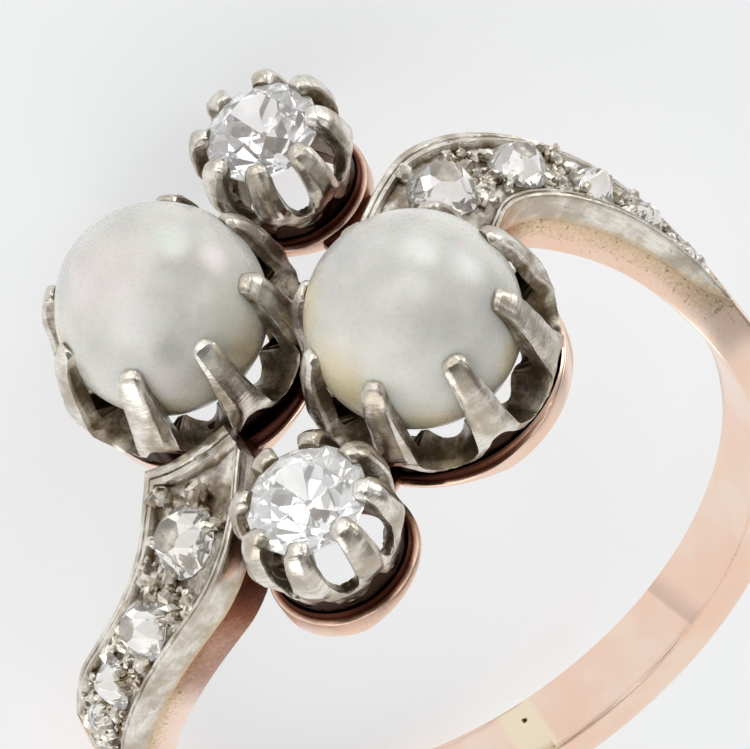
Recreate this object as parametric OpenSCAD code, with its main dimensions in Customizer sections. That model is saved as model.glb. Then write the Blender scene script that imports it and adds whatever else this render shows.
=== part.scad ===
// Toi et moi ring: two pearls and two old-cut diamonds on a bypass band
// The ring is drawn upright, finger axis along Y and head up, and is then laid on its side

/* [Finger hole and band] */
// Inside radius of the finger hole
finger_r = 8.5; // [8:0.1:9.5]
// Width of the band behind the finger
band_w = 1.95; // [1.6:0.05:2.4]
// Thickness of the band behind the finger
band_t = 1.0; // [0.8:0.05:1.2]
// Thickness of the band at its sides, where the shoulders start
side_t = 1.2; // [1.05:0.05:1.4]
// Bevel along the band's outer edges
bevel = 0.12; // [0.05:0.01:0.2]

/* [Shoulders] */
// Thickness of a shoulder together with its white plate
shoulder_t = 1.62; // [1.5:0.02:1.9]
// Distance from the band's middle to the widest point of a shoulder
reach = 4.05; // [3.8:0.05:4.3]
// Angle above the ring's side where a shoulder ends
shoulder_to = 82; // [78:1:84]
// Thickness of the web that ties a shoulder's tip to the collars
web_t = 0.35; // [0.25:0.05:0.6]

/* [White plates] */
// Thickness of the white plate at the head
plate_t = 0.72; // [0.5:0.02:0.9]
// Angle above the ring's side where the white plate starts
plate_from = 14; // [10:1:20]
// Angle above the ring's side where the white plate ends
plate_to = 75; // [70:1:78]
// Width of the raised rim along each edge of the plate
rim_w = 0.28; // [0.2:0.02:0.4]
// Depth of the channel between the rims
channel_d = 0.2; // [0.1:0.02:0.3]

/* [Pearls] */
// Diameter of a pearl
pearl_d = 4.94; // [4.6:0.02:5.2]
// Direction in which the pearls stand on each side of the middle, turned from across the finger
pearl_turn = 43.6; // [40:0.2:46]
// How far a pearl's lowest point lies under the crown of the finger hole
pearl_dip = 0.08; // [0:0.01:0.12]
// How far the claws stand out past a pearl
pearl_claw = 0.63; // [0.55:0.01:0.7]
// Space between the two pearl coronets
pearl_space = 0.12; // [0.1:0.01:0.2]
// Width of the foot under a pearl's coronet
pearl_foot_w = 0.8; // [0.6:0.05:1]
// Height of a pearl's collar above the crown of the finger hole
pearl_collar_h = 0.32; // [0.28:0.01:0.4]

/* [Diamonds] */
// Diameter of a diamond at its girdle
diamond_d = 2.8; // [2.6:0.02:2.9]
// Direction in which a diamond stands from the pearl beside it, turned from across the finger
diamond_turn = 33.4; // [32:0.2:38]
// Height of a diamond's girdle above the crown of the finger hole
diamond_rise = 2.54; // [2.4:0.02:2.8]
// Height of a diamond's crown
crown_h = 0.5; // [0.35:0.02:0.6]
// Depth of a diamond's pavilion
pavilion_h = 1.2; // [1:0.05:1.4]
// How far the claws stand out past a diamond
diamond_claw = 0.52; // [0.45:0.01:0.56]
// Width of the foot under a diamond's coronet
diamond_foot_w = 0.5; // [0.4:0.05:0.6]
// Height of a diamond's collar above the crown of the finger hole
diamond_collar_h = 0.5; // [0.4:0.01:0.55]

/* [Settings] */
// How far a collar stays inside the widest radius of its coronet
collar_in = 0.14; // [0.1:0.01:0.2]
// Wall of a collar
collar_wall = 0.2; // [0.16:0.02:0.3]
// How far the collars reach down past the crown of the finger hole
collar_drop = 0.33; // [0.25:0.01:0.4]
// Height of the seat inside a collar above the crown of the finger hole
seat_h = 0.06; // [0.04:0.01:0.1]
// Number of claws on each coronet
claws = 8; // [6:1:9]

/* [Small stones] */
// Diameter of the largest small stone
stone_d = 1.8; // [1.5:0.02:1.84]
// Height of the largest small stone
stone_h = 0.6; // [0.4:0.02:0.7]

/* [Fit and rest] */
// Gap between a piece and what holds it
gap = 0.03; // [0.02:0.005:0.04]
// Height of the ring's centre of mass above the middle of the finger hole
balance_h = 4.4; // [4:0.1:5.8]

/* [Hidden] */
$fn = 64;

rose = "#c98d74";
white = "#b9b6b0";
far_away = 40;
step = 4;
fine = 180;

// Stones and settings: radii, heights and places of the right pearl and the upper diamond.
// The left pearl and the lower diamond are these turned half round the ring's upright axis
pearl_r = pearl_d / 2;
diamond_r = diamond_d / 2;
pearl_coronet_r = pearl_r + pearl_claw;
diamond_coronet_r = diamond_r + diamond_claw;
pearl_from_middle = pearl_coronet_r + pearl_space / 2;
pearl_x = pearl_from_middle * cos(pearl_turn);
pearl_y = pearl_from_middle * sin(pearl_turn);
diamond_from_pearl = pearl_coronet_r + diamond_coronet_r;
diamond_x = diamond_from_pearl * cos(diamond_turn) - pearl_x;
diamond_y = diamond_from_pearl * sin(diamond_turn) + pearl_y;
pearl_at = [pearl_x, -pearl_y, finger_r + pearl_r - pearl_dip];
diamond_at = [diamond_x, diamond_y, finger_r + diamond_rise];
pearl_collar_r = pearl_coronet_r - collar_in;
diamond_collar_r = diamond_coronet_r - collar_in;
pearl_foot_r = pearl_collar_r - collar_wall - gap;
diamond_foot_r = diamond_collar_r - collar_wall - gap;
pearl_bore_r = pearl_foot_r - pearl_foot_w;
diamond_bore_r = diamond_foot_r - diamond_foot_w;
foot_z = finger_r + seat_h + gap;

// Shoulder edges: angle above the side, near edge and far edge as shares of the reach
ANGLE = 0;
NEAR = 1;
FAR = 2;
band_share = band_w / 2 / reach;
EDGES = [
    [0, -band_share, band_share],
    [8, -0.15, 0.335],
    [16, 0.03, 0.48],
    [24, 0.17, 0.62],
    [32, 0.265, 0.765],
    [40, 0.33, 0.885],
    [48, 0.37, 0.97],
    [55, 0.30, 1.0],
    [60, 0.08, 0.98],
    [65, -0.15, 0.90],
    [70, -0.30, 0.73],
    [76, -0.40, 0.48],
    [84, -0.47, 0.22]];

// Coronets from the outside: share of the height, radius as a share of the widest radius
PEARL_SIDE = [[0, 0.86], [0.06, 0.87], [0.126, 0.93], [0.354, 1], [0.8, 0.92], [1, 0.84]];
DIAMOND_SIDE = [[0, 0.77], [0.13, 0.78], [0.35, 0.88], [0.573, 1], [0.88, 0.93], [1, 0.80]];

// Coronets, levels as shares of the height: lower rim, notch under a claw, floor of an arch
RIM = 0;
NOTCH = 1;
FLOOR = 2;
PEARL_LEVELS = [0.06, 0.31, 0.126];
DIAMOND_LEVELS = [0.13, 0.34, 0.35];

// Claw and arch: share of the half pitch, rise from rim to notch, rise from arch floor to tip
SHARE = 0;
LOWER = 1;
UPPER = 2;
ARCH = [
    [0, 1, 1],
    [0.22, 0.78, 0.97],
    [0.28, 0.66, 0.76],
    [0.34, 0.54, 0.48],
    [0.44, 0.40, 0.24],
    [0.64, 0.14, 0.06],
    [1, 0, 0]];

// Small stones: angle, place across the plate, size and table as shares, height as a share
PLACE = 1;
SIZE = 2;
TABLE = 3;
TALL = 4;
STONES = [
    [62, 0.57, 1, 0.46, 1],
    [49, 0.52, 0.88, 0.40, 1],
    [37, 0.50, 0.75, 0.16, 1.1],
    [27.5, 0.50, 0.60, 0.36, 0.9],
    [19.5, 0.50, 0.44, 0.36, 0.8]];

function column(table, name) = [for (row = table) [row[0], row[name]]];
function polar(r, angle, y) = [r * cos(angle), y, r * sin(angle)];
function unit(v) = v / norm(v);

// Outside radius of the ring: the lower half is a true circle set a little off the hole's centre
round_r = finger_r + (band_t + side_t) / 2;
round_up = (side_t - band_t) / 2;
side_r = sqrt(pow(round_r, 2) - pow(round_up, 2));
plate_lip = 0.05;
full_from = 45;
function top_r(angle) =
    lookup(angle, [[0, side_r], [plate_from, side_r + plate_lip],
                   [full_from, finger_r + shoulder_t], [90, finger_r + shoulder_t]]);

// Edges of a shoulder. The plate also keeps clear of the coronets beside it
function near_edge(angle) = reach * lookup(angle, column(EDGES, NEAR));
function far_edge(angle) = reach * lookup(angle, column(EDGES, FAR));
function half_chord(r, dx) = abs(dx) < r ? sqrt(r * r - dx * dx) : -far_away;
function past_pearl(x) = half_chord(pearl_coronet_r + 2 * gap, x - pearl_x) - pearl_y;
function short_of_diamond(x) =
    diamond_y - half_chord(diamond_coronet_r + 2 * gap, x - diamond_x);
function plate_near(angle) =
    let (x_top = top_r(angle) * cos(angle), x_low = gold_r(angle) * cos(angle))
    max(near_edge(angle), past_pearl(x_top), past_pearl(x_low));
function plate_far(angle) =
    let (x_top = top_r(angle) * cos(angle), x_low = gold_r(angle) * cos(angle))
    max(min(far_edge(angle), short_of_diamond(x_top), short_of_diamond(x_low)),
        plate_near(angle) + rim_w);

// The plate is half as thick where it starts, and a small gap parts it from the bare gold there
plate_gap = 0.6;
plate_angles = [for (a = [plate_from + plate_gap : step : plate_to]) a];
shoulder_angles = [for (a = [plate_from + plate_gap : step : shoulder_to]) a];
function plate_depth(angle) =
    lookup(angle, [[plate_from, plate_t / 2], [full_from, plate_t], [90, plate_t]]);
function gold_r(angle) = top_r(angle) - plate_depth(angle) - gap;

// A solid through a row of loops, closed at its ends or joined end to start
module through(loops, ring = false) {
    n = len(loops[0]);
    m = len(loops);
    last = ring ? m - 1 : m - 2;
    sides = [for (i = [0 : last], j = [0 : n - 1])
        let (k = (i + 1) % m, l = (j + 1) % n)
        each [[i * n + j, i * n + l, k * n + l], [i * n + j, k * n + l, k * n + j]]];
    ends = ring ? [] : [[for (j = [n - 1 : -1 : 0]) j], [for (j = [0 : n - 1]) (m - 1) * n + j]];
    polyhedron(points = [for (loop = loops) each loop], faces = concat(sides, ends));
}

// A section of the gold, whose inner side lies inside the finger hole that is cut out later
under_r = finger_r * 0.96;
function section(angle, lo, hi, r) =
    [polar(under_r, angle, lo), polar(under_r, angle, hi), polar(r - bevel, angle, hi),
     polar(r, angle, hi - bevel), polar(r, angle, lo + bevel), polar(r - bevel, angle, lo)];
function right_section(angle, r) = section(angle, near_edge(angle), far_edge(angle), r);
function left_section(angle, r) = section(180 - angle, -far_edge(angle), -near_edge(angle), r);
function band_r(angle) =
    round_up * sin(angle) + sqrt(pow(round_r, 2) - pow(round_up * cos(angle), 2));

// The gold from the left shoulder's tip, round behind the finger, to the right shoulder's tip.
// Each shoulder is a row of angles and radii: bare at first, then lower to carry the plate
module gold() {
    bare_steps = 3;
    ledge = plate_from + plate_gap / 2;
    rise = concat([for (k = [1 : bare_steps]) let (a = plate_from * k / bare_steps) [a, top_r(a)]],
                  [for (a = concat([ledge], shoulder_angles)) [a, gold_r(a)]]);
    through(concat([for (i = [len(rise) - 1 : -1 : 0]) left_section(rise[i][0], rise[i][1])],
                   [for (a = [-180 : step : 0]) section(a, -band_w / 2, band_w / 2, band_r(a))],
                   [for (p = rise) right_section(p[0], p[1])]));
}

// Where the plate is narrow its rims and channel shrink with it
rim_most = 0.3;
channel_most = 0.25;
rim_soft = 0.2;
function plate_loop(angle) =
    let (a = plate_near(angle), b = plate_far(angle),
         rim = min(rim_w, (b - a) * rim_most), soft = rim * rim_soft,
         r = top_r(angle), low = gold_r(angle) + gap,
         floor_r = r - min(channel_d, (b - a) * channel_most))
    [polar(low, angle, a), polar(low, angle, b), polar(r - soft, angle, b),
     polar(r, angle, b - soft), polar(r, angle, b - rim), polar(floor_r, angle, b - rim - soft),
     polar(floor_r, angle, a + rim + soft), polar(r, angle, a + rim), polar(r, angle, a + soft),
     polar(r - soft, angle, a)];

module plate() {
    color(white)
        through([for (a = plate_angles) plate_loop(a)]);
}

// How far a claw's middle ridge stands out of the coronet, as a factor on its radius
ridge = 1.02;
// Height of the claws' tips above the middle of their stone, as a share of its radius
pearl_tip_share = 0.385;
diamond_tip_share = 0.243;
pearl_tip = pearl_r * pearl_tip_share;
diamond_tip = diamond_r * diamond_tip_share;

// Radius inside a coronet at a height above its stone's centre
function pearl_inside(z) =
    max(pearl_bore_r, sqrt(max(0, pow(pearl_r + 3 * gap, 2) - z * z)));
function diamond_inside(z) =
    let (seat = diamond_r + 4 * gap)
    lookup(z, [[-pavilion_h * 0.75, diamond_bore_r], [-pavilion_h * 0.3, seat],
               [crown_h * 0.2, seat], [diamond_tip, diamond_r * 0.93]]);

// One section of a coronet: up the foot, up the outside, and down the inside
half = len(ARCH) - 1;
IN_SHARES = [1, 0.91, 0.75, 0.58, 0.4, 0.2, 0];
skirt_rise = 0.025;
function coronet_loop(angle, row, foot, tip, levels, side, widest, foot_r, insides) =
    let (low = levels[RIM] + (levels[NOTCH] - levels[RIM]) * row[LOWER],
         high = levels[FLOOR] + (1 - levels[FLOOR]) * row[UPPER],
         proud = widest * (row[SHARE] == 0 ? ridge : 1),
         tall = tip - foot,
         out = [for (t = [0 : 3]) let (s = low + (high - low) * t / 3)
                [lookup(s, side) * proud, foot + tall * s]],
         in = [for (t = IN_SHARES) let (z = foot + tall * high * t)
               [insides == "pearl" ? pearl_inside(z) : diamond_inside(z), z]],
         skirt = [[foot_r, foot], [foot_r, foot + tall * (low + skirt_rise)]])
    [for (p = concat(skirt, out, in)) [p[0] * cos(angle), p[0] * sin(angle), p[1]]];

module coronet(first_claw, foot, tip, levels, side, widest, foot_r, insides) {
    pitch = 360 / claws;
    color(white)
        through([for (i = [0 : claws - 1], k = [1 - half : half])
                 let (row = ARCH[abs(k)], way = k < 0 ? -1 : 1)
                 coronet_loop(first_claw + pitch * (i + way * row[SHARE] / 2), row,
                              foot, tip, levels, side, widest, foot_r, insides)], ring = true);
}

module pearl_coronet() {
    translate(pearl_at)
        coronet(2, foot_z - pearl_at[2], pearl_tip, PEARL_LEVELS, PEARL_SIDE,
                pearl_coronet_r, pearl_foot_r, "pearl");
}

module diamond_coronet() {
    translate(diamond_at)
        coronet(14, foot_z - diamond_at[2], diamond_tip, DIAMOND_LEVELS, DIAMOND_SIDE,
                diamond_coronet_r, diamond_foot_r, "diamond");
}

// The space that a setting needs in the shank: its foot's bore and the coronet above the collar
module setting_room(at, tip, collar_h, side, widest, foot_r, bore_r) {
    foot = foot_z - at[2];
    tall = tip - foot;
    seat = finger_r + seat_h - at[2];
    rim = finger_r + collar_h - at[2];
    rim_share = (rim - foot) / tall;
    function clear_r(share) = lookup(share, side) * widest * ridge + 2 * gap;
    translate(at)
        rotate_extrude()
            polygon(concat([[0, -at[2]], [bore_r, -at[2]], [bore_r, seat], [foot_r + gap, seat],
                            [foot_r + gap, rim], [max(foot_r + gap, clear_r(rim_share)), rim]],
                           [for (row = side) if (row[0] > rim_share)
                            [clear_r(row[0]), foot + tall * row[0]]],
                           [[0, tip]]));
}

module collar(at, r, h) {
    translate([at[0], at[1], finger_r - collar_drop])
        cylinder(r = r, h = h + collar_drop);
}

// The thin webs that tie each shoulder's tip to the collars beside it, under the white plates
module web_outline() {
    inner = [-pearl_x * 0.12, -pearl_y * 0.05];
    outer = [reach * 1.11, reach * 0.15];
    edge = [reach * 0.95, reach * 0.62];
    polygon([[pearl_x, -pearl_y], outer, edge, [diamond_x + diamond_collar_r / 3, diamond_y],
             [diamond_x - diamond_collar_r / 3, diamond_y], inner]);
}

module webs() {
    intersection() {
        translate([0, 0, finger_r - web_t])
            linear_extrude(web_t + pearl_collar_h - gap)
                union() {
                    web_outline();
                    rotate(180) web_outline();
                }
        rotate([90, 0, 0])
            cylinder(r = gold_r(90) - bevel, h = 2 * far_away, center = true, $fn = fine);
    }
}

module half_collars() {
    collar(pearl_at, pearl_collar_r, pearl_collar_h);
    collar(diamond_at, diamond_collar_r, diamond_collar_h);
}

module half_rooms() {
    setting_room(pearl_at, pearl_tip, pearl_collar_h, PEARL_SIDE, pearl_coronet_r,
                 pearl_foot_r, pearl_bore_r);
    setting_room(diamond_at, diamond_tip, diamond_collar_h, DIAMOND_SIDE, diamond_coronet_r,
                 diamond_foot_r, diamond_bore_r);
}

module both_halves() {
    children();
    half_turn() children();
}

module half_turn() {
    rotate([0, 0, 180]) children();
}

module shank() {
    color(rose)
        difference() {
            union() {
                gold();
                webs();
                both_halves() half_collars();
            }
            rotate([90, 0, 0]) cylinder(r = finger_r, h = 2 * far_away, center = true, $fn = fine);
            both_halves() half_rooms();
        }
}

module pearl() {
    color("ivory") translate(pearl_at) sphere(r = pearl_r, $fn = 96);
}

// A cut stone with a table, a crown of kites and halves, and a pavilion unless it is flat below
module cut_stone(r, crown, table, pavilion, sides = 8) {
    turn = 180 / sides;
    edge = r * 0.03;
    mid_r = r * (table + 1) / 2;
    low_r = r * 0.45;
    culet_r = r * 0.07;
    up = crown / (r * (1 - table));
    down = pavilion / r;
    flat = pavilion == 0;
    function at(radius, angle, z) = [radius * cos(angle), radius * sin(angle), z];
    tops = [for (k = [0 : sides - 1]) at(r * table, 2 * turn * k, edge + crown)];
    mids = [for (k = [0 : sides - 1])
            at(mid_r, 2 * turn * k + turn, edge + up * (r - mid_r * cos(turn)))];
    upper = [for (j = [0 : 2 * sides - 1]) at(r, turn * j, edge)];
    lower = [for (j = [0 : 2 * sides - 1]) at(r, turn * j, flat ? 0 : -edge)];
    halves = [for (k = [0 : sides - 1])
              at(low_r, 2 * turn * k + turn, -edge - down * (r - low_r * cos(turn)))];
    culet = [for (k = [0 : sides - 1])
             at(culet_r, 2 * turn * k + turn, -edge - down * (r - culet_r * cos(turn)))];
    M = sides;
    G = 2 * sides;
    L = 4 * sides;
    Q = 6 * sides;
    C = 7 * sides;
    crown_faces = [for (k = [0 : sides - 1])
        let (n = (k + 1) % sides, p = (k + sides - 1) % sides, j = (2 * k + 2) % (2 * sides))
        each [[k, n, M + k], [k, M + k, G + 2 * k], [k, G + 2 * k, M + p],
              [M + k, G + 2 * k + 1, G + 2 * k], [M + k, G + j, G + 2 * k + 1]]];
    girdle_faces = [for (j = [0 : 2 * sides - 1]) let (n = (j + 1) % (2 * sides))
        each [[G + j, G + n, L + n], [G + j, L + n, L + j]]];
    base_faces = [for (k = [0 : sides - 1])
        let (p = (k + sides - 1) % sides, j = (2 * k + 2) % (2 * sides))
        each [[Q + k, L + 2 * k, L + 2 * k + 1], [Q + k, L + 2 * k + 1, L + j],
              [C + p, L + 2 * k, C + k], [C + k, L + 2 * k, Q + k], [C + p, Q + p, L + 2 * k]]];
    table_face = [[for (k = [sides - 1 : -1 : 0]) k]];
    flat_face = [[for (j = [0 : 2 * sides - 1]) L + j]];
    culet_face = [[for (k = [0 : sides - 1]) C + k]];
    polyhedron(points = concat(tops, mids, upper, lower, flat ? [] : concat(halves, culet)),
               faces = concat(table_face, crown_faces, girdle_faces,
                              flat ? flat_face : concat(base_faces, culet_face)));
}

module diamond() {
    table_share = 0.5;
    color("lightcyan")
        translate(diamond_at) cut_stone(diamond_r, crown_h, table_share, pavilion_h);
}

// A small stone lies with its flat base along the slope of the plate's channel
function slope(angle) = atan((top_r(angle + 1) - top_r(angle - 1)) * 90 / PI / top_r(angle));

module small_stone(i) {
    row = STONES[i];
    a = row[ANGLE];
    y = plate_near(a) + (plate_far(a) - plate_near(a)) * row[PLACE];
    color("lightcyan")
        translate(polar(top_r(a) - channel_d + 2 * gap, a, y))
            rotate([0, 90 - a + slope(a), 0])
                cut_stone(stone_d / 2 * row[SIZE], stone_h * row[TALL] * row[SIZE], row[TABLE], 0);
}

// At rest the ring stands on two points: one on the edge of its band, found by its angle from
// the band's lowest point, and one on the lower edge of the upper diamond's collar
edge_r = round_r - bevel;
balance = [0, 0, balance_h];
function band_point(b) = [edge_r * sin(b), band_w / 2, round_up - edge_r * cos(b)];
collar_edge = [for (a = [0 : 5 : 175])
    let (x = diamond_x + diamond_collar_r * cos(a))
    [x, diamond_y + diamond_collar_r * sin(a),
     max(finger_r - collar_drop, sqrt(pow(finger_r, 2) - x * x))]];
function lowest(up) =
    let (heights = [for (p = collar_edge) p * up])
    collar_edge[search(min(heights), heights)[0]];
function up_at(b, passes = 3) =
    let (touch = passes == 0 ? [diamond_x, diamond_y + diamond_collar_r, finger_r]
                             : lowest(up_at(b, passes - 1)),
         v = unit(cross([cos(b), 0, sin(b)], touch - band_point(b))))
    v[1] < 0 ? v : -v;

// The ring rolls along its band's edge until its centre of mass is over the line of contact
function side_of_line(b) =
    let (up = up_at(b))
    (balance - band_point(b)) * cross(up, lowest(up) - band_point(b));
function settle(a, b, passes = 16) =
    let (mid = (a + b) / 2)
    passes == 0 ? mid
    : side_of_line(a) * side_of_line(mid) > 0 ? settle(mid, b, passes - 1)
    : settle(a, mid, passes - 1);
up = up_at(settle(-85, 0));
back = unit(up * up[2] - [0, 0, 1]);
lay = [cross(back, up), back, up];

// The origin is on the floor under the middle of the ring
reach_marks = [for (a = [0 : 15 : 345]) [0, 0, round_up] + polar(round_r, a, 0)];
function spread(axis) =
    let (pearls = [for (way = [-1, 1])
                   [way * pearl_at[0], way * pearl_at[1], pearl_at[2]] * axis],
         ends = concat([for (p = reach_marks) p * axis],
                       [for (p = pearls, out = [-pearl_r, pearl_r]) p + out]))
    [min(ends), max(ends)];
middle = [for (axis = [lay[0], lay[1]]) let (ends = spread(axis)) (ends[0] + ends[1]) / 2];
shift = [-middle[0], -middle[1], -(lowest(up) * up)];

module at_rest() {
    multmatrix([for (i = [0 : 2]) concat(lay[i], shift[i])])
        children();
}

at_rest() shank();
at_rest() plate();  // shoulder_plate_right
at_rest() half_turn() plate();  // shoulder_plate_left
at_rest() pearl_coronet();  // pearl_setting_right
at_rest() half_turn() pearl_coronet();  // pearl_setting_left
at_rest() diamond_coronet();  // diamond_setting_upper
at_rest() half_turn() diamond_coronet();  // diamond_setting_lower
at_rest() pearl();  // pearl_right
at_rest() half_turn() pearl();  // pearl_left
at_rest() diamond();  // diamond_upper
at_rest() half_turn() diamond();  // diamond_lower
for (i = [0 : len(STONES) - 1]) {
    at_rest() small_stone(i);
    at_rest() half_turn() small_stone(i);
}
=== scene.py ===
import math
import random
import bpy
import bmesh
from mathutils import Matrix, Vector, noise


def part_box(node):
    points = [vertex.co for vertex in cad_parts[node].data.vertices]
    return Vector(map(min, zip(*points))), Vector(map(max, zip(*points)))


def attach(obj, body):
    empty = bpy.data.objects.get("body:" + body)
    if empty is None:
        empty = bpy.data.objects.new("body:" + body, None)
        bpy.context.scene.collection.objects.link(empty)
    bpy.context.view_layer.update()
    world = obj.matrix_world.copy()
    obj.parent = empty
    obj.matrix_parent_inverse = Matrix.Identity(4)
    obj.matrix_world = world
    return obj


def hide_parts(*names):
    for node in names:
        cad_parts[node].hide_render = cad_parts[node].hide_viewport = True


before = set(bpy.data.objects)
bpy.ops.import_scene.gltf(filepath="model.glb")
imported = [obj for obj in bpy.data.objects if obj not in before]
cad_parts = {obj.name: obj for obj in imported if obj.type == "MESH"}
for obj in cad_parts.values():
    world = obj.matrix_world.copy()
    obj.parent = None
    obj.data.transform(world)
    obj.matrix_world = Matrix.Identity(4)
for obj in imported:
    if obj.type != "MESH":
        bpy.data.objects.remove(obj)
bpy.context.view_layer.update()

print("frame loaded:", len(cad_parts), "nodes")

# The ring is modelled upright in millimetres, finger axis along Y and head up, then laid down
pose = {
    "across": (-0.974356, -0.225012, 0.0),
    "back": (0.0540946, -0.234242, -0.970672),
    "up": (0.218413, -0.94578, 0.240407),
    "shift": (0.0, 2.22674, 3.97727),
}
poseRows = [(*pose[axis], move) for axis, move in zip(("across", "back", "up"), pose["shift"])]
layDown = Matrix.Diagonal((0.001, 0.001, 0.001, 1)) @ Matrix(poseRows + [(0, 0, 0, 1)])
halfTurn = Matrix.Rotation(math.pi, 4, "Z")

# Angles are in degrees above the ring's side, all other sizes in mm
ring = {
    "fingerR": 8.5, "bandW": 1.95, "bandT": 1.0, "sideT": 1.2, "edge": 0.12, "innerEdge": 0.07,
    "shoulderT": 1.62, "reach": 4.05, "shoulderFrom": 14.0, "shoulderTo": 75.6, "tipBore": 2.1,
    "underPlateEdge": 0.03, "gap": 0.03,
    "underPlate": [(13.8, 0.0), (20, 0.42), (45, 0.72), (90, 0.72)],
    "solder": [(10, 0.0), (15, 0.85), (22, 0.8), (90, 0.8)],
    "scratches": [(-90, 1.0), (-58, 1.0), (-50, 0.0)],
    # Stain and painted shade on the shoulders grow towards the head, under the settings, and start
    # earlier on the left
    "stainAndShade": [(40, 0.0), (52, 0.42), (62, 0.6), (72, 0.9), (90, 1.0)], "leftStainAndShadeEarly": 8,
}
pearlAt = Vector((2.28838, -2.1792, 10.89))
diamondAt = Vector((1.90255, 4.94261, 11.04))
pearlR = 2.47
diamondCoronetR = 1.92


def curve(rows, x):  # smooth line through rows of (x, value)
    if x <= rows[0][0]:
        return rows[0][1]
    if x >= rows[-1][0]:
        return rows[-1][1]
    i = max(k for k in range(len(rows) - 1) if rows[k][0] <= x)
    (xa, ya), (xb, yb) = rows[i], rows[i + 1]

    def lean(k):
        lo, hi = max(k - 1, 0), min(k + 1, len(rows) - 1)
        return (rows[hi][1] - rows[lo][1]) / (rows[hi][0] - rows[lo][0])
    span = xb - xa
    t = (x - xa) / span
    ma, mb = lean(i) * span, lean(i + 1) * span
    return ((2 * t ** 3 - 3 * t ** 2 + 1) * ya + (t ** 3 - 2 * t ** 2 + t) * ma
            + (3 * t ** 2 - 2 * t ** 3) * yb + (t ** 3 - t ** 2) * mb)


def polar(r, angle, y):
    return Vector((r * math.cos(math.radians(angle)), y, r * math.sin(math.radians(angle))))


def shapedGrid(across, along, place):
    # a grid whose points are moved by place, which gives point, flow, darkness from tarnish and
    # painted shade, and maybe solder
    body = bmesh.new()
    flow = body.loops.layers.uv.new("flow")
    tarnishAndShade = body.verts.layers.float.new("tarnishAndShade")
    solder = body.verts.layers.float.new("solder")
    bmesh.ops.create_grid(body, x_segments=across, y_segments=along, size=0.5)
    flowOf = {}
    for vert in body.verts:
        point, flowAt, dark, *seam = place(vert.co.x + 0.5, vert.co.y + 0.5)
        vert.co = point
        vert[tarnishAndShade] = dark
        vert[solder] = seam[0] if seam else 0.0
        flowOf[vert] = flowAt
    for face in body.faces:
        for loop in face.loops:
            loop[flow].uv = flowOf[loop.vert]
    return body


def closeUp(body, near=0.0005):
    bmesh.ops.remove_doubles(body, verts=body.verts, dist=near)
    bmesh.ops.dissolve_degenerate(body, edges=body.edges, dist=near / 5)
    rims = [edge for edge in body.edges if edge.is_boundary]
    if rims:
        bmesh.ops.holes_fill(body, edges=rims, sides=0)
    bmesh.ops.recalc_face_normals(body, faces=body.faces)


def finishPiece(body, name, material, nodes=(), sharp=32.0, turned=False):
    if turned:
        bmesh.ops.transform(body, matrix=halfTurn, verts=body.verts)
    bmesh.ops.transform(body, matrix=layDown, verts=body.verts)
    mesh = bpy.data.meshes.new(name)
    body.to_mesh(mesh)
    body.free()
    mesh.polygons.foreach_set("use_smooth", [True] * len(mesh.polygons))
    mesh.set_sharp_from_angle(angle=math.radians(sharp))
    mesh.materials.append(material)
    piece = bpy.data.objects.new(name, mesh)
    bpy.context.scene.collection.objects.link(piece)
    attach(piece, "root")
    if nodes:
        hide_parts(*nodes)
    print(name, len(mesh.polygons), "faces")


def joinInto(body, part):
    # adds the part's faces to the body and frees it
    mesh = bpy.data.meshes.new("part")
    part.to_mesh(mesh)
    part.free()
    body.from_mesh(mesh)
    bpy.data.meshes.remove(mesh)


# Shader maths: a socket that can be added, scaled and compared like a number
class Shade:
    def __init__(self, tree, socket=None):
        self.tree = tree
        self.socket = socket

    def node(self, kind, settings, values, out=0):
        made = self.tree.nodes.new(kind)
        for name, value in settings.items():
            setattr(made, name, value)
        for name, value in values.items():
            if isinstance(value, Shade):
                self.tree.links.new(value.socket, made.inputs[name])
            else:
                made.inputs[name].default_value = value
        return Shade(self.tree, made.outputs[out]) if len(made.outputs) else None

    def math(self, operation, *values):
        return self.node("ShaderNodeMath", {"operation": operation}, dict(enumerate(values)))

    def __add__(self, other):
        return self.math("ADD", self, other)

    def __sub__(self, other):
        return self.math("SUBTRACT", self, other)

    def __rsub__(self, other):
        return self.math("SUBTRACT", other, self)

    def __mul__(self, other):
        return self.math("MULTIPLY", self, other)

    def rise(self, low, high):  # smoothly from 0 below low to 1 above high
        return self.node("ShaderNodeMapRange", {"interpolation_type": "SMOOTHSTEP"},
                         {"Value": self, "From Min": low, "From Max": high})

    def blend(self, mask, base, over):
        return self.node("ShaderNodeMix", {"data_type": "RGBA"}, {0: mask, 6: base, 7: over}, 2)

    def noise(self, where, scale, detail=3.0, rough=0.55):
        return self.node("ShaderNodeTexNoise", {}, {"Vector": where, "Scale": scale,
                                                    "Detail": detail, "Roughness": rough})

    def cells(self, where, scale):
        return self.node("ShaderNodeTexVoronoi", {}, {"Vector": where, "Scale": scale})

    def attribute(self, name):
        return self.node("ShaderNodeAttribute", {"attribute_name": name}, {}, "Fac")

    def awayFrom(self, where, centre):  # both in mm
        return self.node("ShaderNodeVectorMath", {"operation": "DISTANCE"},
                         {0: where, 1: tuple(centre)}, "Value")

    def along(self, where, direction):
        return self.node("ShaderNodeVectorMath", {"operation": "DOT_PRODUCT"},
                         {0: where, 1: tuple(direction)}, "Value")

    def millimetres(self, shift=(0, 0, 0)):
        spot = self.node("ShaderNodeTexCoord", {}, {}, "Object")
        return self.node("ShaderNodeMapping", {}, {"Vector": spot, "Location": shift,
                                                   "Scale": (1000, 1000, 1000)})

    def flowing(self, stretch):
        flow = self.node("ShaderNodeUVMap", {"uv_map": "flow"}, {})
        return self.node("ShaderNodeMapping", {}, {"Vector": flow, "Scale": stretch})


def newMaterial(name):
    material = bpy.data.materials.new(name)
    material.use_nodes = True
    tree = material.node_tree
    tree.nodes.clear()
    return material, Shade(tree)


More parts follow.
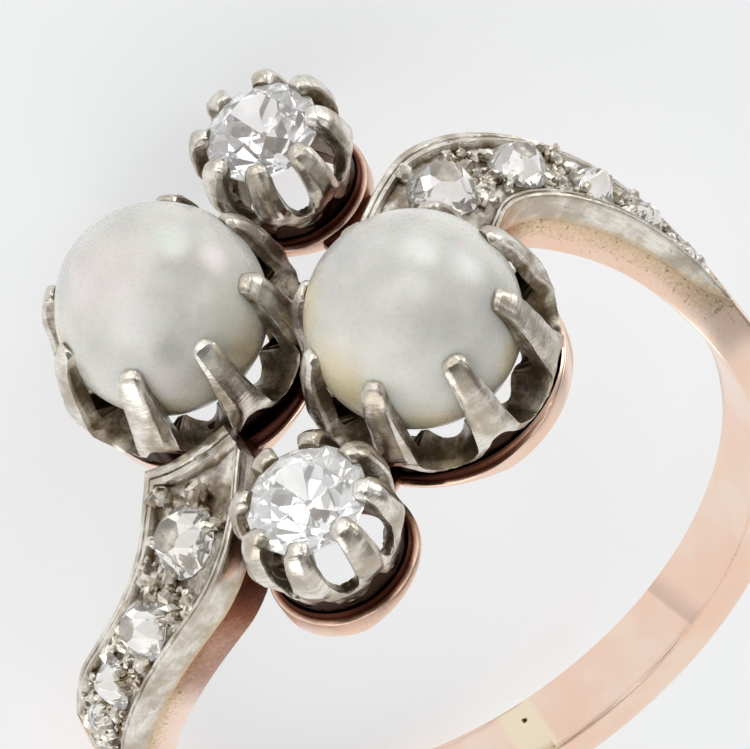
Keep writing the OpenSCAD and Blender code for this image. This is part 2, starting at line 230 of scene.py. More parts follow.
def finishMaterial(shade, surface, height=None, strength=0.3, depth=0.00002):
    if height is not None:
        surface["Normal"] = shade.node("ShaderNodeBump", {},
                                       {"Height": height, "Strength": strength, "Distance": depth})
    body = shade.node("ShaderNodeBsdfPrincipled", {}, surface)
    shade.node("ShaderNodeOutputMaterial", {}, {"Surface": body})


# White metal: filed and worn silver, brown with tarnish and painted shade in the hollows, near
# black with painted shade in the deepest ones
whiteMetal = {
    "bright": (0.93, 0.895, 0.825, 1), "worn": (0.54, 0.475, 0.385, 1),
    "tarnishAndShade": (0.17, 0.125, 0.075, 1), "deepShade": (0.040, 0.018, 0.011, 1),
    "pit": (0.03, 0.024, 0.02, 1), "solder": (0.66, 0.50, 0.33, 1),
    "fileMarks": (2.2, 15.0, 1.0), "smoothest": 0.12, "hammered": 2.6,
    "tarnishAndShadeAt": (0.16, 0.78), "deepShadeAt": (0.86, 1.04), "solderAt": (0.5, 0.9),
}


def makeWhiteMetal(name, look):
    material, shade = newMaterial(name)
    spot = shade.millimetres()
    deep, seam = shade.attribute("tarnishAndShade"), shade.attribute("solder")
    cloud = shade.noise(spot, 1.3, 4)
    fine = shade.noise(spot, 8.0, 5, 0.65)
    marks = shade.noise(shade.flowing(look["fileMarks"]), 1.0, 4, 0.65)
    dents = shade.cells(spot, look["hammered"])
    pits = shade.noise(shade.millimetres((7, 3, 5)), 7.0, 3).rise(0.70, 0.76)
    # tarnish with painted shade, where the vertex darkness is high
    dark = (deep + (cloud - 0.5) + (fine - 0.5) * 0.6).rise(*look["tarnishAndShadeAt"])
    # painted shade, near black, in the deepest hollows
    black = (deep + (cloud - 0.5) * 0.35 + (fine - 0.5) * 0.3).rise(*look["deepShadeAt"])
    tone = shade.blend(cloud.rise(0.35, 0.65), look["bright"], look["worn"])
    tone = shade.blend(marks.rise(0.46, 0.66) * 0.5, tone, look["worn"])
    soldered = (seam + (fine - 0.5) * 0.8).rise(*look["solderAt"])
    tone = shade.blend(soldered * 0.85, tone, look["solder"])
    tone = shade.blend(dark, tone, look["tarnishAndShade"])
    tone = shade.blend(black, tone, look["deepShade"])
    tone = shade.blend(pits * 0.75, tone, look["pit"])
    rough = fine * 0.1 + cloud * 0.1 + dark * 0.12 + look["smoothest"]
    height = marks * 0.7 + fine * 0.3 + dents - pits * 0.6
    finishMaterial(shade, {"Base Color": tone, "Metallic": 1.0, "Roughness": rough},
                   height, 0.7, 0.00002)
    return material


# Rose gold: polished, with soft wear lines; darker and redder with stain and painted shade towards
# the head, and with painted shade in the collars
roseGold = {
    "body": (0.975, 0.70, 0.56, 1), "pale": (0.99, 0.81, 0.69, 1),
    # the stain colour serves the scratches and painted shade, the deep one the pits and the darkest
    # painted shade
    "stainAndShade": (0.30, 0.115, 0.065, 1), "deep": (0.075, 0.022, 0.012, 1),
    "solder": (0.71, 0.54, 0.35, 1), "sizing": (0.99, 0.87, 0.66, 1), "roughness": 0.16,
    "shaded": (0.56, 0.41, 0.33, 1), "pitAt": (-0.297, 0.38, -8.495),
    "stainAndShadeAt": (0.2, 0.75), "deepAt": (0.62, 1.0), "solderAt": (0.35, 0.9),
    "sizingFrom": (-1.0, -0.78), "sizingTo": (0.06, 0.22), "sizingBelow": (-8.2, -8.0),
    "creaseWay": (0.854, 0.25, 0.52),  # a slanting crease across the band, left from sizing, with painted shade along one side
}


def ringAxis(shade, spot, direction):
    # a point's place in mm along a direction in the upright ring, from the finger hole's middle
    way = (layDown.to_3x3() @ Vector(direction)).normalized()
    return shade.along(spot, way) - way.dot(Vector(pose["shift"]))


def makeRoseGold(name, look):
    material, shade = newMaterial(name)
    spot = shade.millimetres()
    deep, seam = shade.attribute("tarnishAndShade"), shade.attribute("solder")
    cloud = shade.noise(spot, 0.5, 3)
    fine = shade.noise(spot, 12.0, 4)
    wear = shade.noise(shade.flowing((2.0, 24.0, 1.0)), 1.0, 3)
    lines = shade.noise(shade.flowing((16.0, 0.5, 1.0)), 1.0, 2)
    # stain and painted shade where the vertex darkness is high: towards the head, in the collars
    # and on the webs
    stainedAndShaded = (deep + (cloud - 0.5) * 0.6 + (fine - 0.5) * 0.14).rise(*look["stainAndShadeAt"])
    # near black painted shade where the vertex darkness is highest, inside the collars and on the
    # webs' tops
    dark = (deep + (cloud - 0.5) * 0.3 + (fine - 0.5) * 0.2).rise(*look["deepAt"])
    tone = shade.blend(cloud.rise(0.3, 0.75), look["body"], look["pale"])
    soldered = (seam + (fine - 0.5) * 0.9 + (cloud - 0.5) * 0.5).rise(*look["solderAt"])
    tone = shade.blend(soldered, tone, look["solder"])
    speck = shade.noise(shade.millimetres((3, 8, 1)), 9.0, 2).rise(0.61, 0.68) * seam
    place, low = ringAxis(shade, spot, (1, 0, 0)), ringAxis(shade, spot, (0, 0, 1))
    place = place + (fine - 0.5) * 0.1
    sized = (place.rise(*look["sizingFrom"]) * (1 - place.rise(*look["sizingTo"]))
             * (1 - low.rise(*look["sizingBelow"])))
    tone = shade.blend(sized * 0.85, tone, look["sizing"])
    # painted shade along one side of the crease, on the inside of the band
    crease = ringAxis(shade, spot, look["creaseWay"]) + (fine - 0.5) * 0.08
    inside = ringAxis(shade, spot, (0, 1, 0)).rise(-0.96, -0.86) * (1 - low.rise(-5, -4))
    crease = crease.rise(-0.04, 0.08) * (1 - crease.rise(0.08, 0.8)) * inside
    tone = shade.blend(crease * 0.5, tone, look["shaded"])
    scratches = lines.rise(0.5, 0.58) * shade.attribute("scratch")
    tone = shade.blend(scratches * 0.6, tone, look["stainAndShade"])
    tone = shade.blend(stainedAndShaded, tone, look["stainAndShade"])
    tone = shade.blend(dark, tone, look["deep"])
    pit = shade.awayFrom(spot, layDown @ Vector(look["pitAt"]) * 1000)
    pit = 1 - (pit + (fine - 0.5) * 0.12).rise(0.05, 0.1)
    tone = shade.blend(speck * 0.7 + pit, tone, look["deep"])
    rough = wear * 0.08 + fine * 0.08 + dark * 0.14 + look["roughness"]
    finishMaterial(shade, {"Base Color": tone, "Metallic": 1.0, "Roughness": rough},
                   wear * 0.4 + fine * 0.4 - scratches * 0.8 - pit * 3.0, 0.3, 0.00001)
    return material


silver = makeWhiteMetal("whiteMetal", whiteMetal)
gold = makeRoseGold("roseGold", roseGold)
print("metals mixed")

# Shoulder edges: angle above the ring's side, near and far edge as shares of the reach
bandShare = ring["bandW"] / 2 / ring["reach"]
edges = [
    (0, -bandShare, bandShare), (8, -0.15, 0.335), (16, 0.03, 0.48), (24, 0.17, 0.62),
    (32, 0.265, 0.765), (40, 0.33, 0.885), (48, 0.37, 0.97), (55, 0.30, 1.0),
    (60, 0.08, 0.98), (65, -0.15, 0.90), (70, -0.30, 0.73), (76, -0.40, 0.48),
    (84, -0.47, 0.22)]
leftEdges = [
    (0, -bandShare, bandShare), (8, -0.21, 0.45), (16, -0.06, 0.66), (24, 0.08, 0.79),
    (32, 0.20, 0.85), (40, 0.335, 0.915), (48, 0.40, 0.965), (55, 0.33, 0.995),
    (60, 0.14, 0.995), (65, -0.10, 0.92), (70, -0.30, 0.74), (76, -0.40, 0.40),
    (84, -0.47, 0.1)]
nearRows = {left: [(-8, -bandShare)] + [(row[0], row[1]) for row in rows]
            for left, rows in ((False, edges), (True, leftEdges))}
farRows = {left: [(-8, bandShare)] + [(row[0], row[2]) for row in rows]
           for left, rows in ((False, edges), (True, leftEdges))}
# The band's outer circle stands a little higher than the finger hole: thinnest at the bottom
roundR = ring["fingerR"] + (ring["bandT"] + ring["sideT"]) / 2
roundUp = (ring["sideT"] - ring["bandT"]) / 2
sideR = math.sqrt(roundR ** 2 - roundUp ** 2)
crownR = ring["fingerR"] + ring["shoulderT"]
topRows = [(0, sideR), (ring["shoulderFrom"], sideR + 0.05), (45, crownR), (90, crownR)]


def topR(angle):
    return curve(topRows, angle)


def goldR(angle):  # the gold under the plate
    return topR(angle) - curve(ring["underPlate"], angle) - ring["gap"]


def halfChord(r, dx):  # half of a circle's chord, or far off where the line misses it
    return math.sqrt(r * r - dx * dx) if abs(dx) < r else -40.0


def pastPearl(x):
    return halfChord(collars["pearl"]["out"] + 0.02, x - pearlAt.x) + pearlAt.y


def shortOfDiamond(x):
    return diamondAt.y - halfChord(diamondCoronetR + 0.06, x - diamondAt.x)


def goldEdges(angle, left):
    near, far = (ring["reach"] * curve(rows[left], angle) for rows in (nearRows, farRows))
    x = goldR(angle) * math.cos(math.radians(angle))
    bore = halfChord(ring["tipBore"], x - pearlAt.x) + pearlAt.y
    return max(near, bore) if angle > 50 else near, far


def plateEdges(angle, left):
    near, far = goldEdges(angle, left)
    xs = [r * math.cos(math.radians(angle)) for r in (topR(angle), goldR(angle))]
    near = max([near] + [pastPearl(x) for x in xs])
    far = min([far] + [shortOfDiamond(x) for x in xs])
    return near, max(far, near + plate["rim"])


def bandR(angle):
    a = math.radians(angle)
    return roundUp * math.sin(a) + math.sqrt(roundR ** 2 - (roundUp * math.cos(a)) ** 2)


def steps(start, stop, step):
    count = max(1, round((stop - start) / step))
    return [start + (stop - start) * k / count for k in range(count)]


goldAngles = (steps(-90, 0, 1.8) + steps(0, ring["shoulderFrom"], 1.0)
              + [ring["shoulderFrom"], ring["shoulderFrom"] + 0.3]
              + steps(ring["shoulderFrom"] + 0.6, ring["shoulderTo"], 1.2) + [ring["shoulderTo"]])


def goldSection(angle, left):
    # rows of radius, place across, solder and scratches, once round the band
    lo, hi = goldEdges(angle, left) if angle > -8 else (-ring["bandW"] / 2, ring["bandW"] / 2)
    bare = angle < ring["shoulderFrom"] + 0.05
    r = bandR(angle) if angle < 0 else topR(angle) if bare else goldR(angle)
    inner, soft = ring["fingerR"], ring["innerEdge"]
    e = ring["edge"] if angle < ring["shoulderFrom"] else ring["underPlateEdge"]
    seam, mark = curve(ring["solder"], angle), curve(ring["scratches"], angle)
    return [(inner + soft, lo, 0, 0), (inner + soft * 0.3, lo + soft * 0.3, 0, 0),
            (inner, lo + soft, 0, mark), (inner, lo + 0.24, 0, 0), (inner, (lo + hi) / 2, 0, 0),
            (inner, (lo + hi * 3) / 4, 0, 0), (inner, hi - soft, 0, 0),
            (inner + soft * 0.3, hi - soft * 0.3, 0, 0), (inner + soft, hi, 0, 0),
            ((inner + r) / 2, hi, seam * 0.4, 0), (r - e, hi, seam, 0),
            (r - e * 0.3, hi - e * 0.3, seam, 0), (r, hi - e, seam, 0),
            (r + 0.02, (lo + hi * 3) / 4, seam, 0), (r + 0.03, (lo + hi) / 2, seam, 0),
            (r + 0.02, (lo * 3 + hi) / 4, seam, 0), (r, lo + e, seam, 0),
            (r - e * 0.3, lo + e * 0.3, seam, 0), (r - e, lo, seam, 0),
            ((inner + r) / 2, lo, seam * 0.8, 0)]


def goldHalf(left):
    marks = {}

    def place(u, v):
        angle = goldAngles[round(u * (len(goldAngles) - 1))]
        loop = goldSection(angle, left)
        r, y, seam, mark = loop[round(v * len(loop)) % len(loop)]
        early = ring["leftStainAndShadeEarly"] if left else 0  # the left one has stain and painted shade further down
        stainAndShade = curve(ring["stainAndShade"], angle + early)
        point = polar(r, angle, y)
        marks[tuple(round(c, 4) for c in point)] = mark
        return point, (v * 5.6, angle * 0.15), stainAndShade, seam
    body = shapedGrid(len(goldAngles) - 1, len(goldSection(0, left)), place)
    scratch = body.verts.layers.float.new("scratch")
    for vert in body.verts:
        vert[scratch] = marks.get(tuple(round(c, 4) for c in vert.co), 0.0)
    if left:
        bmesh.ops.transform(body, matrix=halfTurn, verts=body.verts)
    closeUp(body)
    return body


def zHole(x):
    return math.sqrt(ring["fingerR"] ** 2 - x * x)


# Collars: a pale rim below, and above it the wall that the coronet stands in, painted dark red as
# shade
collars = {
    "pearl": {"at": pearlAt, "out": 2.96, "wall": 2.84, "in": 2.76, "bore": 1.95, "rim": 8.47,
              "top": 8.80, "lift": 0.27, "stainAndShade": 0.0},
    "diamond": {"at": diamondAt, "out": 1.79, "wall": 1.64, "in": 1.57, "bore": 1.22, "rim": 8.68,
                "top": 8.88, "lift": 0.0, "stainAndShade": 0.5},
    "slimmer": {"out": 2.86, "wall": 2.75, "in": 2.70, "lift": 0.0},
    "slimmerShift": (-0.24, 0.22, 0), "seat": 8.56, "foot": 8.17, "soft": 0.035, "liftTo": -28,
}


def underside(x):  # collars and webs end at the finger hole, or flat beside it
    return max(collars["foot"], zHole(x))


def collarBody(spec):
    # rows of radius, height and darkness of painted shade and reflection, once round the collar's
    # wall
    def place(u, v):
        angle = math.radians(360 * u)
        soft = collars["soft"]
        out, inside, top, wall, rim = (spec[key] for key in ("out", "in", "top", "wall", "rim"))

        def low(r):
            return underside(spec["at"].x + r * math.cos(angle))
        # the rim is higher, and the wall above it has less painted shade, on the side of liftTo
        lift = max(0.0, math.cos(angle - math.radians(collars["liftTo"]))) ** 1.5 * spec["lift"]
        edge, shadeShare = rim + lift, 1 - lift * 3.1
        edge += 0.06 * math.log(1 + math.exp((low(out) + 0.1 - edge) / 0.06))
        out -= lift * 0.28
        # painted shade on the wall between the rim and the coronet, inside and in the bore; the
        # outer side's value paints a dark reflection
        profile = [(out - soft, low(out), 0.1), (out, low(out) + soft, spec["stainAndShade"] * 0.6),
                   (out, edge - soft, spec["stainAndShade"]),
                   (out - soft * 0.3, edge - soft * 0.3, spec["stainAndShade"]), (out - soft, edge, 0.3),
                   (min(wall + soft * 0.8, out - soft * 1.2), edge, 0.7 * shadeShare),
                   (wall, edge + 0.01, shadeShare), (wall, top - soft, 1.1 * shadeShare),
                   (wall - soft, top, shadeShare), (inside, top - soft, 1.1),
                   (inside, collars["seat"], 1.1), (spec["bore"], collars["seat"], 1.1),
                   (spec["bore"], low(spec["bore"]), 0.8),
                   ((out + spec["bore"]) / 2, low((out + spec["bore"]) / 2), 0.3)]
        r, z, dark = profile[round(v * len(profile)) % len(profile)]
        spot = Vector((spec["at"].x + r * math.cos(angle), spec["at"].y + r * math.sin(angle), z))
        return spot, (z, u * out * 6.28), dark
    body = shapedGrid(96, 14, place)  # as many rows as the profile has
    closeUp(body)
    return body


# Webs: thin patches of sheet that tie the shoulder tips and the collars, as outlines
webs = {
    "tip": [(2.3, 0.6), (4.3, 1.5), (3.85, 2.5), (3.2, 3.9), (1.6, 3.6), (1.9, 1.6)],
    "middle": [(-0.6, -0.9), (0.9, -0.5), (0.6, 0.9), (-0.9, 0.5)],
    "side": [(0.0, 3.35), (0.75, 3.7), (0.6, 4.4), (-0.2, 4.0)],
}
# the webs' tops, between and under the settings, get deep painted shade, their undersides a little
webSheet = {"lift": 0.04, "thick": 0.24, "darkTop": 0.95, "darkUnder": 0.3,
            "order": Vector((1.0, 31.7, 977.3))}


def webBody(outline):
    sheet = bmesh.new()
    tarnishAndShade = sheet.verts.layers.float.new("tarnishAndShade")
    bmesh.ops.create_grid(sheet, x_segments=60, y_segments=60, size=5.5)
    for (xa, ya), (xb, yb) in zip(outline, outline[1:] + outline[:1]):
        bmesh.ops.bisect_plane(sheet, geom=sheet.verts[:] + sheet.edges[:] + sheet.faces[:],
                               plane_co=(xa, ya, 0), plane_no=(yb - ya, xa - xb, 0),
                               clear_outer=True)
    for vert in sheet.verts:
        vert.co.z = underside(vert.co.x) + webSheet["lift"]
    bmesh.ops.recalc_face_normals(sheet, faces=sheet.faces)
    bmesh.ops.solidify(sheet, geom=sheet.faces[:] + sheet.edges[:] + sheet.verts[:],
                       thickness=-webSheet["thick"])
    # solidify makes its faces in a new order each run, and so they are sorted by place
    sheet.verts.sort(key=lambda vert: vert.co.dot(webSheet["order"]))
    sheet.faces.sort(key=lambda face: face.calc_center_median().dot(webSheet["order"]))
    middle = webSheet["lift"] + webSheet["thick"] / 2
    for vert in sheet.verts:
        above = vert.co.z > underside(vert.co.x) + middle
        vert[tarnishAndShade] = webSheet["darkTop" if above else "darkUnder"]
    return sheet


shank = goldHalf(False)
joinInto(shank, goldHalf(True))
# the caps where the halves meet at the bottom come out, and so the halves join
caps = [face for face in shank.faces
        if len(face.verts) > 4 and abs(face.calc_center_median().x) < 0.01]
bmesh.ops.delete(shank, geom=caps, context="FACES")
closeUp(shank)
for kind in ("pearl", "diamond"):
    for turned in (False, True):
        shifted = turned and kind == "pearl"  # the left one stands a little nearer the middle
        tube = collarBody({**collars[kind], **collars["slimmer"]} if shifted else collars[kind])
        if shifted:
            bmesh.ops.translate(tube, verts=tube.verts, vec=collars["slimmerShift"])
        if turned:
            bmesh.ops.transform(tube, matrix=halfTurn, verts=tube.verts)
        joinInto(shank, tube)
for outline in webs.values():
    for turned in (False, True):
        sheet = webBody(outline)
        if turned:
            bmesh.ops.transform(sheet, matrix=halfTurn, verts=sheet.verts)
        joinInto(shank, sheet)
finishPiece(shank, "goldShank", gold, ["shank"], 30)

# Plates: a grooved rim along both edges, wider towards the head, and a sunk channel between
plate = {
    "from": 14.1, "to": 75.4, "step": 0.6, "rim": 0.28, "channel": 0.2, "channelDark": 0.41,
    "soft": 0.28, "groove": 0.2,  # shares of the rim's width
    "solder": [(14, 1.0), (19, 0.75), (26, 0.25), (90, 0.25)],
    "leftNear": [(52, 1.0), (62, 1.9), (90, 1.9)], "rightFar": [(44, 1.0), (58, 1.45), (90, 1.45)],
    "rough": 0.06, "fine": 0.04, "edgeWave": 0.012,
}
plateAngles = steps(plate["from"], plate["to"], plate["step"]) + [plate["to"]]


def plateSection(angle, left):
    # rows of place across, radius, darkness from tarnish and painted shade, and solder, once round
    # the plate
    a, b = plateEdges(angle, left)
    rim = min(plate["rim"], (b - a) * 0.3)
    soft, cut = rim * plate["soft"], rim * plate["groove"]
    r, low = topR(angle), goldR(angle) - 0.01
    floor = r - min(plate["channel"], (b - a) * 0.25)
    mid = (low + r) / 2
    seam = curve(plate["solder"], angle)

    # painted shade in the rim's groove, down the channel's walls and on its floor, and a little at
    # the underside
    def half(rim):
        return [(0, low, 0.2, 1.0), (0, low + (mid - low) * 0.5, 0.0, max(seam, 0.5)),
                (0, mid, 0.0, seam), (0, r - soft, 0, seam * 0.5),
                (soft * 0.3, r - soft * 0.3, 0, 0), (soft, r, 0, 0),
                (rim * 0.45, r - cut * 0.2, 0.1, 0), (rim * 0.55, r - cut, 0.75, 0),
                (rim * 0.65, r - cut * 0.2, 0.1, 0),
                (rim - soft * 0.3, r - soft * 0.2, 0, 0), (rim, r - soft, 0.3, 0),
                (rim + soft, floor, 0.75, 0)]
    nearRim = rim * curve(plate["leftNear"], angle) if left else rim
    farRim = rim if left else rim * curve(plate["rightFar"], angle)
    start, wide = a + nearRim + soft, (b - a) - nearRim - farRim - 2 * soft
    return ([(a + y, z, dark, join) for y, z, dark, join in half(nearRim)]
            + [(start + share * wide, floor, plate["channelDark"], 0)
               for share in (0.12, 0.25, 0.38, 0.5, 0.62, 0.75, 0.88)]
            + [(b - y, z, dark, join) for y, z, dark, join in reversed(half(farRim))])


def plateBody(left, seed):
    count = len(plateSection(40, left))

    def place(u, v):
        angle = plateAngles[round(u * (len(plateAngles) - 1))]
        y, r, dark, seam = plateSection(angle, left)[round(v * count) % count]
        spot = Vector((angle * 0.45, y * 2.6, seed))
        if dark > 0.4:
            r += plate["rough"] * noise.noise(spot) + plate["fine"] * noise.noise(spot * 2.7)
        else:
            y += plate["edgeWave"] * noise.noise(spot * 1.5)
        return polar(r, angle, y), (angle * 0.17, v * 6), dark, seam
    body = shapedGrid(len(plateAngles) - 1, count, place)
    closeUp(body)
    return body


for side, left in (("Right", False), ("Left", True)):
    finishPiece(plateBody(left, 3 if left else 8), "whitePlate" + side, silver,
                ["shoulder_plate_" + side.lower()], 34, left)

# Coronets: heights in mm from the middle of their stone, widths as half angles at tip and base
pearlCoronet = {
    "at": pearlAt, "foot": -2.30, "tip": 0.97, "rim": -2.105, "floor": -1.89, "notch": -1.29,
    "shoulder": -1.12, "skirtR": 2.73, "bore": 1.95, "wall": 0.46,
    "tipWide": 6.3, "baseWide": 9.2,
    "side": [(-2.3, 2.66), (-2.1, 2.70), (-1.89, 2.88), (-1.15, 3.10), (-0.4, 2.99),
             (0.3, 2.83), (0.7, 2.66), (1.0, 2.44)],
    "ridge": 0.19, "tipIn": 2.27, "stoneR": 2.49, "scoop": 0.12,
}
diamondCoronet = {
    "at": diamondAt, "foot": -2.45, "tip": 0.36, "rim": -2.09, "floor": -1.47, "notch": -1.5,
    "shoulder": -0.95, "skirtR": 1.55, "bore": 1.22, "wall": 0.32,
    "tipWide": 10.5, "baseWide": 12.5,
    "side": [(-2.45, 1.48), (-2.09, 1.50), (-1.47, 1.69), (-0.85, 1.92), (-0.3, 1.86),
             (0.1, 1.75), (0.36, 1.52)],
    "ridge": 0.15, "tipIn": 1.24, "stoneR": 1.43, "scoop": 0.2,
}
clawCount = 8
halfColumns = 18  # from a claw's middle to the middle of the gap beside it
tipColumns = 4
sideColumns = 11
wallRows = 15
# Lower rim: share of the way to the gap's middle, share of the rise to the notch
scallop = [(0, 1), (0.12, 0.96), (0.26, 0.72), (0.44, 0.38), (0.66, 0.12), (1, 0)]
# Upper edge: share of the way in, share of the fold over a claw's tip
tipFold = [(0.0, -0.02), (0.06, 0.0), (0.3, 0.35), (0.55, 0.6), (0.8, 0.5), (0.97, 0.1)]
insideRows = (1, 0.93, 0.84, 0.73, 0.6, 0.45, 0.3, 0.15, 0)  # shares of the height


def stoneSide(spec, z):
    # radius inside a coronet at a height above its stone's middle
    thin = (curve(spec["side"], z) - spec["wall"]) if z > spec["notch"] - 0.1 else 0.0
    if spec["stoneR"] > 2:
        return max(spec["bore"], math.sqrt(max(0.0, spec["stoneR"] ** 2 - z * z)), thin)
    return max(thin, curve([(-1.1, spec["bore"]), (-0.4, 1.4), (-0.1, spec["stoneR"]), (0.1, 1.42),
                            (0.34, spec["tipIn"])], z))


def coronetBody(spec, firstClaw, seed):
    dice = random.Random(seed)
    claws = [{"lean": dice.uniform(-1.6, 1.6), "wide": dice.uniform(0.9, 1.12),
              "tall": dice.uniform(-0.07, 0.05), "roof": dice.uniform(-0.5, 0.5),
              "flat": dice.uniform(0.3, 0.6)} for k in range(clawCount)]
    columns = 2 * clawCount * halfColumns
    pitch = 360 / clawCount

    def topEdge(c, claw):
        # half angle and height of the upper edge at a column counted from the claw's middle
        tipWide = spec["tipWide"] * claw["wide"]
        tip = spec["tip"] + claw["tall"]
        if c <= tipColumns:
            share = c / tipColumns
            return tipWide * share, tip - 0.10 * share ** 4
        if c <= sideColumns:
            share = (c - tipColumns) / (sideColumns - tipColumns)
            z = tip - 0.10 + (spec["shoulder"] - tip + 0.10) * share
            return tipWide + (spec["baseWide"] - tipWide) * share ** 1.2, z
        turn = math.pi / 2 * (c - sideColumns) / (halfColumns - sideColumns)
        gapWide = pitch / 2 - spec["baseWide"]
        return (pitch / 2 - gapWide * math.cos(turn),
                spec["shoulder"] + (spec["floor"] - spec["shoulder"]) * math.sin(turn))

    def lowEdge(c):
        share = c / halfColumns
        rise = (spec["notch"] - spec["rim"]) * curve(scallop, share)
        return pitch / 2 * share, spec["rim"] + rise

    def place(u, v):
        column = round(u * columns) % columns
        k, c = divmod(column + halfColumns, 2 * halfColumns)
        c -= halfColumns
        claw = claws[k % clawCount]
        way = -1 if c < 0 else 1
        onTip = abs(c) <= tipColumns
        topWide, high = topEdge(abs(c), claw)
        lowWide, low = lowEdge(abs(c))
        middle = firstClaw + pitch * k
        clawShare = max(0.0, 1 - max(0, abs(c) - tipColumns) / (sideColumns + 3 - tipColumns))

        def outer(t):
            z = low + (high - low) * t
            wide = lowWide + (topWide - lowWide) * t ** 0.7
            r = curve(spec["side"], z)
            above = min(1.0, max(0.0, (z - spec["notch"]) / 0.5))  # the claw's roof starts here
            across = min(1.0, wide / (spec["baseWide"] * 1.05))
            drop = max(0.0, across - claw["flat"]) / (1 - claw["flat"])
            r -= spec["ridge"] * above * drop * (1 + claw["roof"] * way)
            r += 0.03 * above * (1 - across)
            lean = claw["lean"] * max(0.0, t - 0.3)
            return r, z, way * wide + lean
        # rows of radius, height, half angle and darkness from tarnish and painted shade: up
        # outside, over the edge, down inside
        r, z, wide = outer(0)
        loop = [(spec["skirtR"], spec["foot"], way * lowWide, 1.1),
                (spec["skirtR"], low + 0.06, way * lowWide, 1.1),
                (max(r - 0.22, spec["skirtR"] - 0.03), z + 0.05, wide, 1.0),
                (r - 0.05, z, wide, 0.5)]
        for row in range(wallRows):
            t = 0.02 + 0.96 * row / (wallRows - 1)
            r, z, wide = outer(t)
            # painted shade low on the outer wall and towards the gaps between claws
            edge = 0.2 * max(0.0, 1 - t * 6) + 0.1 * (1 - clawShare)
            loop.append((r, z, wide, edge))
        r, z, wide = outer(1)
        tipness = max(0.0, 1 - abs(c) / (tipColumns + 1.0))
        inR = min(spec["tipIn"] if onTip else stoneSide(spec, z), r - 0.12)
        fold = 0.1 * tipness
        past = max(0.0, (abs(c) - sideColumns) / (halfColumns - sideColumns))
        scoop = spec["scoop"] * past ** 0.7
        for share, up in tipFold:
            loop.append((r - 0.02 + (inR - r + 0.02) * share,
                         z + fold * up - scoop * share ** 1.3, wide,
                         0.05 if share <= 0.1 else 0.15 if onTip else 0.6))
        z0 = z - 0.02 - scoop
        for share in insideRows:
            zz = spec["foot"] + (z0 - spec["foot"]) * share
            rr = stoneSide(spec, zz)
            if share > 0.8 and onTip:
                rr = min(rr, inR)
            upper = share > 0.5
            spread = way * (abs(wide) + (lowWide - abs(wide)) * (1 - share))
            # painted shade on the inside, deeper towards the foot
            loop.append((rr, zz, wide if upper else spread, 0.62 if upper else 0.78))
        r, z, wide, dark = loop[round(v * len(loop)) % len(loop)]
        angle = math.radians(middle + wide)
        spot = Vector((r * math.cos(angle), r * math.sin(angle), z))
        rough = Vector((spot.x * 2.2 + seed, spot.y * 2.2, spot.z * 2.2))
        wave = 0.035 * noise.noise(rough) + 0.018 * noise.noise(rough * 3.1)
        spot += Vector((spot.x, spot.y, 0)).normalized() * wave
        return spec["at"] + spot, (r * angle, z), dark
    body = shapedGrid(columns, 4 + wallRows + len(tipFold) + len(insideRows), place)
    closeUp(body)
    return body


coronetPlan = [
    ("pearlCoronetRight", pearlCoronet, "pearl_setting_right", 2.0, 11, False),
    ("pearlCoronetLeft", pearlCoronet, "pearl_setting_left", 8.0 - 180, 12, True),
    ("diamondCoronetUpper", diamondCoronet, "diamond_setting_upper", 16.0, 13, False),
    ("diamondCoronetLower", diamondCoronet, "diamond_setting_lower", 12.0 - 180, 14, True),
]
for name, spec, node, firstClaw, seed, turned in coronetPlan:
    finishPiece(coronetBody(spec, firstClaw, seed), name, silver, [node], 30, turned)

# Grains: the beads cut up from the plate and pushed over the small stones, with rubble between
grains = {
    "lift": 0.10, "prong": 0.2, "rubble": 0.14, "perGap": 30, "channelEnd": (15.5, 0, 0.1),
    "stoneWides": (1.0, 0.88, 0.75, 0.6, 0.44), "prongTurns": (38, 142, 218, 322),
    # lumps that stand out: angle, place across and size
    "right": [(54, 2.36, 0.22), (53, 1.96, 0.16), (40.5, 3.44, 0.2), (39.5, 2.6, 0.24),
              (44, 2.08, 0.2), (58, 1.64, 0.2), (26.5, 2.72, 0.17), (27, 2.2, 0.16),
              (59, 3.2, 0.2), (56.5, 3.24, 0.16), (43, 3.48, 0.16)],
    "left": [(67, 1.64, 0.34), (55.5, 3.12, 0.34), (40, 3.0, 0.3), (54, 2.16, 0.3),
             (27.5, 2.36, 0.24), (27, 1.24, 0.2), (61.8, 0.8, 0.24), (63, 0.96, 0.26),
             (67, 2.16, 0.14), (51, 2.5, 0.2)],
}


def randomVector(dice, low, high):
    return Vector([dice.uniform(low, high) for axis in range(3)])


def grain(body, at, along, size, tall, dice):
    # one lump, lengthened towards along, standing on the channel's floor
    lump = bmesh.new()
    tarnishAndShade = lump.verts.layers.float.new("tarnishAndShade")
    lump.loops.layers.uv.new("flow")
    bmesh.ops.create_icosphere(lump, subdivisions=2, radius=1.0)
    up = Vector((at.x, 0, at.z)).normalized()
    along = (along - up * along.dot(up)).normalized()
    frameOf = Matrix((along, up.cross(along), up)).transposed()
    seed = randomVector(dice, 0, 9)
    for vert in lump.verts:
        co = vert.co * (1 + 0.55 * noise.noise(vert.co * 1.6 + seed))
        # painted shade under each lump, lighter towards its top
        vert[tarnishAndShade] = 0.6 - 0.7 * min(1.0, max(0.0, co.z * 1.3 + 0.7))
        vert.co = at + frameOf @ Vector((co.x * size * 1.25, co.y * size * 0.85, co.z * tall))
    joinInto(body, lump)


